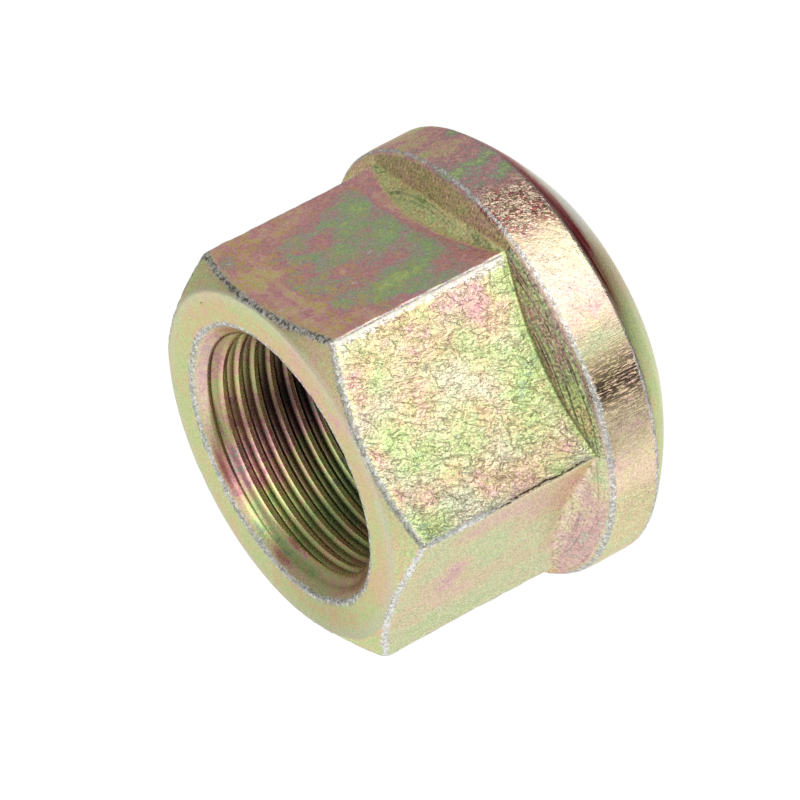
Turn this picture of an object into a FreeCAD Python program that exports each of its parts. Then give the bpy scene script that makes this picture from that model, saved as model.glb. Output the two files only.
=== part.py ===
# A wheel nut, forged and turned in one piece: a hexagon head on a round flange with a spherical seat.
import FreeCAD
import Part
import math
import os

# Driving dimensions, in millimetres and degrees. The nut stands on its seat end, with its axis on Z.
NUT_HEIGHT = 27.0
ACROSS_FLATS = 30.0
HEX_EDGE_ROUND = 0.35
CHAMFER_ANGLE = 30.0
CHAMFER_INSET = 0.3

THREAD_DIAMETER = 22.0
THREAD_PITCH = 1.5
COUNTERSINK_DEPTH = 1.6

FLANGE_LEDGE = 1.03
FLANGE_CONE_ANGLE = 26.0
RIM_HEIGHT = 4.4
RIM_ROUND = 0.5
SEAT_EDGE_BREAK = 0.3
NECK_FILLET = 1.0

SEAT_SPHERE_RADIUS = 24.8
SEAT_LAND = 1.5

# Sizes that follow from those above. A basic thread reaches 5/8 of its sharp depth inwards.
NODE = "wheel_nut"
HEX_SIDES = 6
thread_depth = THREAD_PITCH * math.cos(math.radians(30)) * 5 / 8
bore_radius = THREAD_DIAMETER / 2 - thread_depth
countersink_radius = bore_radius + COUNTERSINK_DEPTH
land_radius = countersink_radius + SEAT_LAND
apothem = ACROSS_FLATS / 2
corner_radius = apothem / math.cos(math.pi / HEX_SIDES)
flange_radius = corner_radius + FLANGE_LEDGE
seat_centre_z = math.sqrt(SEAT_SPHERE_RADIUS ** 2 - land_radius ** 2)
rim_bottom = seat_centre_z - math.sqrt(SEAT_SPHERE_RADIUS ** 2 - flange_radius ** 2)
rim_top = rim_bottom + RIM_HEIGHT
cone_angle = math.radians(FLANGE_CONE_ANGLE)


def point(radius, height):
    """A point of a turned profile, in the XZ plane."""
    return FreeCAD.Vector(radius, 0, height)


def lines(points):
    """Straight edges through a list of points."""
    return [Part.makeLine(a, b) for a, b in zip(points, points[1:])]


def arc(start, middle, end):
    """A round edge through three points."""
    return Part.Arc(start, middle, end).toShape()


def turned(edges):
    """The solid that a closed profile sweeps in one turn about Z."""
    face = Part.Face(Part.Wire(edges))
    return face.revolve(FreeCAD.Vector(0, 0, 0), FreeCAD.Vector(0, 0, 1), 360)


def chamfered_blank():
    """What the cone turned on the head's end leaves of a bar as wide as the flange."""
    face_radius = apothem - CHAMFER_INSET
    shoulder = NUT_HEIGHT - (flange_radius - face_radius) * math.tan(math.radians(CHAMFER_ANGLE))
    return turned(lines([
        point(0, rim_bottom),
        point(flange_radius, rim_bottom),
        point(flange_radius, shoulder),
        point(face_radius, NUT_HEIGHT),
        point(0, NUT_HEIGHT),
        point(0, rim_bottom),
    ]))


def hexagon_head():
    """A hexagon bar with rounded corners, one of them on +X, and a cone turned on its free end."""
    corners = []
    for side in range(HEX_SIDES + 1):
        angle = 2 * math.pi * side / HEX_SIDES
        x = corner_radius * math.cos(angle)
        y = corner_radius * math.sin(angle)
        corners.append(FreeCAD.Vector(x, y, rim_bottom))
    bar = Part.Face(Part.makePolygon(corners)).extrude(FreeCAD.Vector(0, 0, NUT_HEIGHT - rim_bottom))
    upright = []
    for edge in bar.Edges:
        box = edge.BoundBox
        if box.ZLength > box.XLength + box.YLength:
            upright.append(edge)
    return bar.makeFillet(HEX_EDGE_ROUND, upright).common(chamfered_blank())


def rim_profile():
    """The rim's outline from the seat, whose turned edge is broken, up to the cone, whose edge is round."""
    seat_end_radius = flange_radius - SEAT_EDGE_BREAK
    seat_end = point(
        seat_end_radius,
        seat_centre_z - math.sqrt(SEAT_SPHERE_RADIUS ** 2 - seat_end_radius ** 2),
    )
    rim_start = point(flange_radius, rim_bottom + SEAT_EDGE_BREAK)
    round_radius = flange_radius - RIM_ROUND
    turn = math.pi / 2 - cone_angle
    high_centre_z = rim_top - RIM_ROUND * math.tan(turn / 2)
    high_middle = point(
        round_radius + RIM_ROUND * math.cos(turn / 2),
        high_centre_z + RIM_ROUND * math.sin(turn / 2),
    )
    cone_start = point(
        round_radius + RIM_ROUND * math.cos(turn),
        high_centre_z + RIM_ROUND * math.sin(turn),
    )
    rim_end = point(flange_radius, high_centre_z)
    edges = lines([seat_end, rim_start, rim_end])
    edges.append(arc(rim_end, high_middle, cone_start))
    return seat_end, edges, cone_start


def flange():
    """The round flange: a spherical seat below, a short rim, and a cone that rises under the head."""
    cone_end = rim_top + (flange_radius - bore_radius) * math.tan(cone_angle)
    seat_end, rim_edges, cone_start = rim_profile()
    middle_radius = (land_radius + flange_radius) / 2
    middle_z = seat_centre_z - math.sqrt(SEAT_SPHERE_RADIUS ** 2 - middle_radius ** 2)
    edges = lines([point(0, cone_end), point(0, 0), point(land_radius, 0)])
    edges.append(arc(point(land_radius, 0), point(middle_radius, middle_z), seat_end))
    edges += rim_edges
    edges += lines([cone_start, point(bore_radius, cone_end), point(0, cone_end)])
    return turned(edges)


def neck_edges(body):
    """The curves on which the head's flats meet the flange's cone."""
    found = []
    for edge in body.Edges:
        middle = edge.valueAt((edge.FirstParameter + edge.LastParameter) / 2)
        radius = math.hypot(middle.x, middle.y)
        cone_z = rim_top + (flange_radius - radius) * math.tan(cone_angle)
        if abs(radius - apothem) < HEX_EDGE_ROUND and abs(middle.z - cone_z) < HEX_EDGE_ROUND:
            found.append(edge)
    return found


def bore():
    """The threaded bore at its minor diameter, with a countersink at each end."""
    return turned(lines([
        point(0, 0),
        point(countersink_radius, 0),
        point(bore_radius, COUNTERSINK_DEPTH),
        point(bore_radius, NUT_HEIGHT - COUNTERSINK_DEPTH),
        point(countersink_radius, NUT_HEIGHT),
        point(0, NUT_HEIGHT),
        point(0, 0),
    ]))


def wheel_nut():
    """The whole nut as one solid."""
    blank = hexagon_head().fuse(flange()).removeSplitter()
    forged = blank.makeFillet(NECK_FILLET, neck_edges(blank))
    return forged.cut(bore()).Solids[0]


def main():
    os.makedirs("parts", exist_ok=True)
    nut = wheel_nut()
    print(NODE, "valid", nut.isValid(), "volume", round(nut.Volume, 1), "faces", len(nut.Faces))
    nut.exportStep(os.path.join("parts", NODE + ".step"))


main()
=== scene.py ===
"""Looks of a forged, chromate-plated wheel nut, built as one turned and faceted surface round its bore."""

import logging
import math
from collections.abc import Iterable, Iterator
from dataclasses import dataclass, field
from enum import Enum

import bpy
import numpy as np
from mathutils import Matrix, Vector

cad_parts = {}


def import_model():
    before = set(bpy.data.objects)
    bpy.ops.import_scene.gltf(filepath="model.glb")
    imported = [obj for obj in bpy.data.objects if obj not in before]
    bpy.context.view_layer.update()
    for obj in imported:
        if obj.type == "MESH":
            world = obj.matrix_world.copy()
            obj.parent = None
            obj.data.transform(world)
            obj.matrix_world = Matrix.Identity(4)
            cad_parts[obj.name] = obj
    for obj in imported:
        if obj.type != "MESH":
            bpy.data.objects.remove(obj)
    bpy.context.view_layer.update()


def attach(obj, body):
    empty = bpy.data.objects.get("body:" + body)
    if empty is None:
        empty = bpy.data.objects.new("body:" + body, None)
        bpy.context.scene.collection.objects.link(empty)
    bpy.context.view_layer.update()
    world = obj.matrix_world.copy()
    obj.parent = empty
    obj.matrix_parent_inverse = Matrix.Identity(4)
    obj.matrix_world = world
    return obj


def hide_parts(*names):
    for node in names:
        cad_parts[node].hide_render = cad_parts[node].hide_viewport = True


MM = 0.001
NODE = "wheel_nut"
BODY = "root"
WHITE = (1.0, 1.0, 1.0, 1.0)

log = logging.getLogger(NODE)


def rise(values: np.ndarray, start: float | np.ndarray, width: float | np.ndarray) -> np.ndarray:
    """0 up to the start, evenly up to 1 over the width, and 1 past it. A negative width turns it round."""
    return np.clip((values - start) / width, 0, 1)


def bell(values: np.ndarray, middle: float, reach: float, power: int = 2) -> np.ndarray:
    """A bell curve: 1 at the middle and 1/e at the reach, with steeper sides for a higher power."""
    return np.exp(-((values - middle) / reach) ** power)


class Side(Enum):
    """The six flats of the head, by the angle of their middle from +X in degrees."""

    RIGHT_BACK = 30
    BACK = 90
    LEFT_BACK = 150
    LEFT_FRONT = 210
    FRONT = 270
    RIGHT_FRONT = 330


class Noise:
    """Smooth lattice noise in space: random values on a unit grid, blended by smoothed trilinear weights."""

    def __init__(self, seed: int) -> None:
        """Draws the table of lattice values."""
        self.table = np.random.default_rng(seed).random(4096) * 2 - 1

    def lattice(self, cell: np.ndarray) -> np.ndarray:
        """The random value of each lattice corner, whose three whole numbers are mixed into one index."""
        mixed = cell[:, 0] * 73856093 ^ cell[:, 1] * 19349663 ^ cell[:, 2] * 83492791
        return self.table[(mixed ^ (mixed >> 13)) & 4095]

    def at(self, points: np.ndarray, size: float) -> np.ndarray:
        """Noise with features of about the given size.

        Args:
            points: places in millimetres, (n, 3).
            size: length of one lattice cell in millimetres.

        Returns:
            Values between -1 and 1, (n,).
        """
        scaled = points / size
        low = np.floor(scaled).astype(np.int64)
        part = scaled - low
        weight = part * part * (3 - 2 * part)
        total = np.zeros(len(points))
        for dx in (0, 1):
            for dy in (0, 1):
                for dz in (0, 1):
                    corner = low + np.array([dx, dy, dz])
                    share = np.abs(1 - dx - weight[:, 0]) * np.abs(1 - dy - weight[:, 1])
                    total += share * np.abs(1 - dz - weight[:, 2]) * self.lattice(corner)
        return total


@dataclass
class Rows:
    """Part of the outline at every column, as arrays of (rows, columns) in millimetres."""

    radius: np.ndarray
    height: np.ndarray
    zone: np.ndarray


class Zone(Enum):
    """Kinds of surface along the outline, from the bore's foot up the outside and into the bore again."""

    FOOT_SINK = 0
    LAND = 1
    SEAT = 2
    RIM = 3
    CONE = 4
    NECK = 5
    FLAT = 6
    CHAMFER = 7
    FACE = 8
    HEAD_SINK = 9
    THREAD = 10


@dataclass
class Corner:
    """A corner of the outline: where it is, how it is rounded, and what follows it.

    The radius and height may be numbers or one value for each column.
    """

    radius: float | np.ndarray
    height: float | np.ndarray
    zone: Zone
    next_zone: Zone
    round: float | np.ndarray = 0.0
    arc_rows: int = 1
    leg_rows: int = 0


@dataclass
class NutBody:
    """The nut's sizes in millimetres, and the methods that make its mesh.

    The outline at each angle is a chain of corner points in the radius and height plane. Each corner is
    rounded by an arc that touches both its legs, and the rounded outlines of all angles make one grid.
    The neck's fillets are in the order of the sides.
    """

    height: float = 27.0
    apothem: float = 15.0
    hex_edge_round: float = 0.5
    chamfer_angle: float = 30.0
    chamfer_inset: float = 0.3
    thread_radius: float = 11.0
    pitch: float = 1.5
    countersink_depth: float = 1.6
    ledge: float = 1.03
    cone_angle: float = 26.0
    rim_height: float = 4.4
    seat_sphere: float = 24.8
    seat_land: float = 1.5
    edge_wear: float = 0.42
    lip: float = 0.45
    crest_phase: float = 0.48
    thread_phases: tuple[float, ...] = (-0.125, -0.085, 0.085, 0.125, 0.28, 0.4375, 0.5625, 0.72)
    columns_at_corner: int = 6
    columns_on_flat: int = 46
    neck_fillets: tuple[float, ...] = (1.0, 1.1, 0.9, 0.9, 0.25, 1.5)

    def __post_init__(self) -> None:
        """Works out the sizes that follow from the driving ones."""
        self.half_flat = self.apothem * math.tan(math.pi / 6)
        self.corner_radius = self.apothem / math.cos(math.pi / 6)
        self.bore_radius = self.thread_radius - self.pitch * math.cos(math.pi / 6) * 5 / 8
        self.sink_radius = self.bore_radius + self.countersink_depth
        self.land_radius = self.sink_radius + self.seat_land
        self.flange_radius = self.corner_radius + self.ledge
        self.seat_centre = math.sqrt(self.seat_sphere ** 2 - self.land_radius ** 2)
        self.rim_low = self.seat_centre - math.sqrt(self.seat_sphere ** 2 - self.flange_radius ** 2)
        self.rim_high = self.rim_low + self.rim_height
        self.face_radius = self.apothem - self.chamfer_inset
        self.angles, self.from_corner = self.column_angles()

    def column_angles(self) -> tuple[np.ndarray, np.ndarray]:
        """Angles of the columns, close together at the hexagon's corners.

        The distance s from a flat's middle runs evenly up to the corner's worn zone, and in shorter
        steps through it. The angle is the flat's middle plus atan(s / apothem).

        Returns:
            The angles in radians, and each column's distance from the nearest corner along the flat.
        """
        half = self.half_flat
        zone = 1.3 * self.hex_edge_round
        inner = np.linspace(-(half - zone), half - zone, self.columns_on_flat)
        outer = np.linspace(half - zone, half, self.columns_at_corner + 1)[1:]
        s = np.concatenate([-outer[::-1][1:], inner, outer])
        one = np.arctan(s / self.apothem)
        angles = np.add.outer(np.radians([side.value for side in Side]), one).ravel()
        return angles, np.tile(half - np.abs(s), len(Side))

    def hexagon(self) -> np.ndarray:
        """Radius of the rounded hexagon at each column.

        Off the corners it is apothem / cos(angle from the flat's middle), and in a corner's round
        c cos(a) + sqrt(r^2 - c^2 sin(a)^2), with a from the corner, radius r and centre at c.

        Returns:
            Radii in millimetres, (columns,).
        """
        turn = np.mod(self.angles, math.pi / 3)
        from_corner = np.minimum(turn, math.pi / 3 - turn)
        flat = self.apothem / np.cos(math.pi / 6 - from_corner)
        centre = (self.apothem - self.hex_edge_round) / math.cos(math.pi / 6)
        inside = self.hex_edge_round ** 2 - (centre * np.sin(from_corner)) ** 2
        arc = centre * np.cos(from_corner) + np.sqrt(np.maximum(inside, 0))
        touch = self.hex_edge_round * math.tan(math.pi / 6)
        return np.where(self.from_corner < touch, arc, flat)

    def neck(self) -> np.ndarray:
        """Radius of the fillet between the cone and the head at each column.

        Each flat has its own radius at its middle, which falls away with the square of the distance
        towards the corners, where the forging leaves almost none.

        Returns:
            Radii in millimetres, (columns,).
        """
        middle = np.repeat(self.neck_fillets, len(self.angles) // len(Side))
        along = 1 - self.from_corner / self.half_flat
        return middle * (1 - along ** 2) + 0.12

    def rounded(self, corners: list[Corner]) -> Rows:
        """Rounds each corner of an outline by an arc that touches both its legs.

        The arc touches the legs at the distance radius * tan(turn / 2) from the corner, held to 0.47 of
        short legs. Its centre lies on the legs' bisector, and its points turn round that centre.

        Args:
            corners: the outline's corners in order.

        Returns:
            The rows of every arc and leg.
        """
        count = len(self.angles)
        points = [np.stack(np.broadcast_arrays(c.radius, c.height, self.angles)[:2], 1) for c in corners]
        lengths = [np.linalg.norm(b - a, axis=1) for a, b in zip(points, points[1:])]
        bands: list[tuple[np.ndarray, Zone]] = []
        arcs: list[np.ndarray] = []
        for index, (corner, point) in enumerate(zip(corners, points)):
            if corner.arc_rows == 1:
                arcs.append(point[None])
                continue
            back = (points[index - 1] - point) / lengths[index - 1][:, None]
            on = (points[index + 1] - point) / lengths[index][:, None]
            half_turn = (math.pi - np.arccos(np.clip((back * on).sum(1), -1, 1))) / 2
            reach = np.broadcast_to(corner.round, count) * np.tan(half_turn)
            reach = np.minimum(reach, 0.47 * np.minimum(lengths[index - 1], lengths[index]))
            actual = reach / np.tan(half_turn)
            bisector = back + on
            bisector /= np.linalg.norm(bisector, axis=1)[:, None]
            centre = point + bisector * (actual / np.cos(half_turn))[:, None]
            first = point + back * reach[:, None] - centre
            last = point + on * reach[:, None] - centre
            steps = np.linspace(0, 1, corner.arc_rows)[:, None, None]
            span = 2 * half_turn[:, None]
            turned = np.sin((1 - steps) * span) * first + np.sin(steps * span) * last
            arcs.append(centre + turned / np.sin(span))
        for index, corner in enumerate(corners):
            bands.append((arcs[index], corner.zone))
            if corner.leg_rows:
                steps = np.linspace(0, 1, corner.leg_rows + 2)[1:-1, None, None]
                leg = arcs[index][-1] * (1 - steps) + arcs[index + 1][0] * steps
                bands.append((leg, corner.next_zone))
        return Rows(
            np.concatenate([band[:, :, 0] for band, _ in bands]),
            np.concatenate([band[:, :, 1] for band, _ in bands]),
            np.concatenate([np.full(band.shape[:2], zone.value) for band, zone in bands]),
        )

    def shoulder(self) -> np.ndarray:
        """Height at which the head's chamfer meets the hexagon at each column."""
        return self.height - (self.hexagon() - self.face_radius) * math.tan(math.radians(self.chamfer_angle))

    def outline(self) -> Rows:
        """The outside of the nut from the foot's countersink round to the head's.

        Cone and chamfer are turned, so both meet the hexagon at a height that follows its radius.

        Returns:
            The rows of the whole outline.
        """
        hexagon = self.hexagon()
        slope = math.tan(math.radians(self.cone_angle))
        neck_height = self.rim_high + (self.flange_radius - hexagon) * slope
        lip, wear = self.lip, self.edge_wear
        corners = [
            Corner(self.sink_radius - lip, lip, Zone.FOOT_SINK, Zone.FOOT_SINK),
            Corner(self.sink_radius, 0.0, Zone.LAND, Zone.LAND, wear * 0.7, 4, 3),
            Corner(self.land_radius, 0.0, Zone.LAND, Zone.SEAT, 0.5, 3),
        ]
        ends = [math.asin(radius / self.seat_sphere) for radius in (self.land_radius, self.flange_radius)]
        for tilt in np.linspace(*ends, 12)[1:-1]:
            radius = self.seat_sphere * math.sin(tilt)
            height = self.seat_centre - self.seat_sphere * math.cos(tilt)
            corners.append(Corner(radius, height, Zone.SEAT, Zone.SEAT))
        corners += [
            Corner(self.flange_radius, self.rim_low, Zone.RIM, Zone.RIM, wear * 0.8, 5, 13),
            Corner(self.flange_radius, self.rim_high, Zone.RIM, Zone.CONE, wear * 1.4, 6, 8),
            Corner(hexagon, neck_height, Zone.NECK, Zone.FLAT, self.neck(), 8, 38),
            Corner(hexagon, self.shoulder(), Zone.CHAMFER, Zone.CHAMFER, wear * 1.1, 6, 6),
            Corner(self.face_radius, self.height, Zone.FACE, Zone.FACE, wear * 2.0, 4, 7),
            Corner(self.sink_radius, self.height, Zone.FACE, Zone.HEAD_SINK, wear * 0.9, 5),
            Corner(self.sink_radius - lip, self.height - lip, Zone.HEAD_SINK, Zone.HEAD_SINK),
        ]
        return self.rounded(corners)

    def thread(self) -> tuple[Rows, np.ndarray, np.ndarray]:
        """The bore's rows, which climb one pitch in a turn, held between the two countersinks.

        Row j at angle a has the height (phase j + a / (2 pi)) * pitch, and the largest radius of thread
        and countersinks. Heights past an end are moved to that end's circle. The crest is flat for a
        quarter of the pitch and the root for an eighth, with straight flanks between them.

        Returns:
            The rows, and masks of the points that lie on the lower and the upper circle.
        """
        turn = (self.angles - self.angles[0]) / (2 * math.pi)
        low, high = self.lip, self.height - self.lip
        first = math.floor(low / self.pitch) - 2
        last = math.ceil(high / self.pitch) + 2
        base = (np.arange(first, last)[:, None] + np.array(self.thread_phases)[None, :]).ravel()
        height = (base[:, None] + turn[None, :] + self.crest_phase) * self.pitch
        at_low = height <= low
        at_high = height >= high
        height = np.clip(height, low, high)
        from_crest = np.abs(np.mod(base + 0.5, 1) - 0.5)[:, None]
        depth = rise(from_crest, 0.125, 0.3125) * (self.thread_radius - self.bore_radius)
        radius = np.maximum(self.bore_radius + depth, self.sink_radius - height)
        radius = np.maximum(radius, self.sink_radius - (self.height - height))
        zone = np.full(height.shape, Zone.THREAD.value)
        return Rows(radius, height, zone), at_low, at_high

    def surface(self) -> "Surface":
        """Joins the outside's grid and the bore's helical grid into one closed surface.

        A bore point has its own number, or that of the end circle it was moved to. The bore's last
        column meets its first one pitch higher. Folded quads become triangles, or nothing.

        Returns:
            The surface in millimetres.
        """
        outside = self.outline()
        bore, at_low, at_high = self.thread()
        rows, count = outside.radius.shape
        own = np.arange(rows * count).reshape(rows, count)
        free = ~(at_low | at_high)
        column = np.broadcast_to(np.arange(count), free.shape)
        index = np.where(at_low, own[0][column], own[-1][column])
        index[free] = rows * count + np.arange(int(free.sum()))
        radius = np.concatenate([outside.radius.ravel(), bore.radius[free]])
        height = np.concatenate([outside.height.ravel(), bore.height[free]])
        zone = np.concatenate([outside.zone.ravel(), bore.zone[free]])
        columns = np.concatenate([np.tile(np.arange(count), rows), column[free]])
        right = np.roll(own, -1, axis=1)
        outer = np.stack([own[:-1], right[:-1], right[1:], own[1:]], -1).reshape(-1, 4)
        step = len(self.thread_phases)
        along = np.concatenate([index[step:, :], np.full((step, count), own[-1][None])])
        after = np.concatenate([index[:, 1:], along[:, :1]], axis=1)
        inner = np.stack([index[1:], after[1:], after[:-1], index[:-1]], -1).reshape(-1, 4)
        halves = np.concatenate([inner[:, [0, 1, 2]], inner[:, [0, 2, 3]]])
        return Surface(self, radius, height, zone, columns, outer, halves)


@dataclass
class Surface:
    """The nut's points in cylinder coordinates, its faces, and what is worked out for each point."""

    body: NutBody
    radius: np.ndarray
    height: np.ndarray
    zone: np.ndarray
    column: np.ndarray
    quads: np.ndarray
    halves: np.ndarray

    def __post_init__(self) -> None:
        """Drops folded triangles and works out angles, flats, points, and a mask for each kind of place."""
        h = self.halves
        whole = (h[:, 0] != h[:, 1]) & (h[:, 1] != h[:, 2]) & (h[:, 2] != h[:, 0])
        self.halves = h[whole]
        self.angle = self.body.angles[self.column]
        self.bearing = (np.degrees(self.angle) + 180) % 360 - 180
        self.from_corner = self.body.from_corner[self.column]
        middles = np.radians([side.value for side in Side])
        turn = (self.angle[:, None] - middles[None, :] + math.pi) % (2 * math.pi) - math.pi
        self.side = np.abs(turn).argmin(1)
        self.along = self.radius * np.sin(turn[np.arange(len(turn)), self.side])
        x, y = self.radius * np.cos(self.angle), self.radius * np.sin(self.angle)
        self.points = np.stack([x, y, self.height], 1)
        self.inset = self.body.flange_radius - self.radius
        self.right, self.front, self.left = (
            self.on_side(side) for side in (Side.RIGHT_FRONT, Side.FRONT, Side.LEFT_FRONT)
        )
        self.flat, self.neck, self.cone, self.rim = (
            self.within(zone) for zone in (Zone.FLAT, Zone.NECK, Zone.CONE, Zone.RIM)
        )
        self.seat, self.chamfer, self.face, self.thread = (
            self.within(zone) for zone in (Zone.SEAT, Zone.CHAMFER, Zone.FACE, Zone.THREAD)
        )
        sink = self.body.sink_radius - (self.body.height - self.height)
        self.sunk = self.within(Zone.THREAD, Zone.HEAD_SINK) * (np.abs(self.radius - sink) < 0.01)
        self.turns = self.thread * (1 - self.sunk)

    def within(self, *zones: Zone) -> np.ndarray:
        """1.0 for the points in any of the zones, 0.0 for the others."""
        return np.isin(self.zone, [zone.value for zone in zones]).astype(float)

    def on_side(self, side: Side) -> np.ndarray:
        """1.0 for the points of one flat and what lies below and above it, 0.0 for the others."""
        return (self.side == list(Side).index(side)).astype(float)

    def turn(self, bearing: float) -> np.ndarray:
        """The turn from a bearing to each point's own, from -180 to 180 degrees."""
        return (self.bearing - bearing + 180) % 360 - 180

    def by_rim(self) -> np.ndarray:
        """1.0 for the seat's points beside the rim, falling to 0.0 inward, sooner past the place where the
        rim's highlight falls.
        """
        reach = 1.35 + 1.05 * rise(self.bearing, -80, 20)
        return self.seat * rise(self.inset, reach, -0.7)

    def inward(self) -> np.ndarray:
        """Rises from 0.0 near the rim to 1.0 inward on the seat, further in past the place where the rim's
        highlight falls.
        """
        start = 1.0 + 1.3 * rise(self.bearing, -58, -22)
        return self.seat * rise(self.inset, start, 0.9)

    def by_shoulder(self) -> np.ndarray:
        """1.0 on the edge between the flats and the chamfer, falling to 0.0 beside it."""
        away = np.abs(self.height - self.body.shoulder()[self.column])
        return rise(away, 0.8, -0.8) * (self.flat + self.chamfer)

    def edge_distance(self) -> np.ndarray:
        """Distance in millimetres to the nearest worn edge, larger where an edge is less worn.

        It is the least distance to a circle or line in which surfaces meet, over the wear's reach there.

        Returns:
            Distances, (points,).
        """
        body = self.body
        r, z = self.radius, self.height
        past = rise(self.bearing, -94, -10)
        circles = (
            (body.flange_radius, body.rim_high, 0.58 + 0.36 * past),
            (body.flange_radius, body.rim_low, 0.18 + 0.4 * past),
            (body.hexagon()[self.column], body.shoulder()[self.column], 1.0),
            (body.face_radius, body.height, 0.15),
            (body.sink_radius, body.height, 0.85),
            (body.sink_radius, 0.0, 0.9),
            (body.land_radius, 0.0, 0.7),
        )
        distances = [np.hypot(r - radius, z - height) / reach for radius, height, reach in circles]
        upright = np.where(self.flat > 0, self.from_corner, 9.0)
        less = self.right * (0.8 - 0.35 * (self.bearing > -30)) + 0.75 * self.front * (self.bearing > -80)
        distance = np.min([*distances, upright / (0.9 - less)], axis=0)
        return np.where(self.thread > 0, np.maximum(distance, 0.3), distance)


@dataclass
class Forging:
    """Unevenness of the forged surface, as moves along the surface's own directions in millimetres."""

    wave: float = 0.045
    wave_size: float = 3.4
    bump: float = 0.018
    bump_size: float = 1.15
    nick: float = 0.11
    nick_size: float = 0.62
    nick_reach: float = 0.55
    rim_wave: float = 0.10
    crack_side: Side = Side.FRONT
    crack_depth: float = 0.10
    crack_width: float = 0.15

    def crack(self, nut: Surface) -> np.ndarray:
        """How deep in the lap crack beside one upright edge each point lies, 0 to 1.

        The crack runs along the flat's end at a distance that noise along the height shifts.

        Args:
            nut: the nut's surface.

        Returns:
            Shares of the crack's depth, (points,).
        """
        steady = nut.points * [0, 0, 1] + [3.1, 0, 0]
        line = 0.14 - nut.body.half_flat + 0.10 * Noise(5).at(steady, 0.9) + 0.12 * Noise(6).at(steady, 0.35)
        across = np.abs(nut.along - line)
        ends = rise(nut.height, 9.6, 1.0) * rise(nut.height, 20.5, -5.0)
        here = nut.on_side(self.crack_side) * nut.flat
        return here * rise(across, self.crack_width, -self.crack_width) * np.sqrt(ends)

    def moves(self, nut: Surface) -> np.ndarray:
        """How far each point moves outwards along its normal.

        Long waves and short bumps of lattice noise cover the forged zones, nicks are cut into the
        edges, and the rim's front edge is drawn in unevenly. What bounds the nut only moves inwards.

        Args:
            nut: the nut's surface.

        Returns:
            Moves in millimetres, (points,).
        """
        points, body = nut.points, nut.body
        forged = nut.flat + nut.neck + nut.cone + 0.25 * nut.chamfer
        waves = self.wave * Noise(1).at(points, self.wave_size)
        waves += self.bump * Noise(2).at(points, self.bump_size)
        edge = rise(nut.edge_distance(), self.nick_reach, -self.nick_reach)
        nicks = np.maximum(Noise(3).at(points, self.nick_size), 0)
        nicks += 0.4 * np.maximum(Noise(4).at(points, self.nick_size * 0.45), 0)
        outer = 1 - nut.within(Zone.THREAD, Zone.LAND, Zone.FOOT_SINK)
        from_edge = np.hypot(nut.inset, nut.height - body.rim_high)
        uneven = 0.5 + 0.5 * Noise(8).at(points, 2.6)
        moved = forged * waves - nut.rim * 0.45 * np.abs(waves) - outer * self.nick * edge * nicks
        moved -= self.rim_wave * rise(from_edge, 1.0, -1.0) * uneven
        return moved - self.crack_depth * self.crack(nut)


@dataclass(frozen=True)
class FilmPatch:
    """A patch of the passivation film on one flat, with its place in millimetres.

    Along is measured from the flat's middle, counter-clockwise seen from above the head.
    """

    side: Side
    along: float
    height: float
    reach_along: float
    reach_up: float
    tint: float
    weight: float = 1.0


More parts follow.
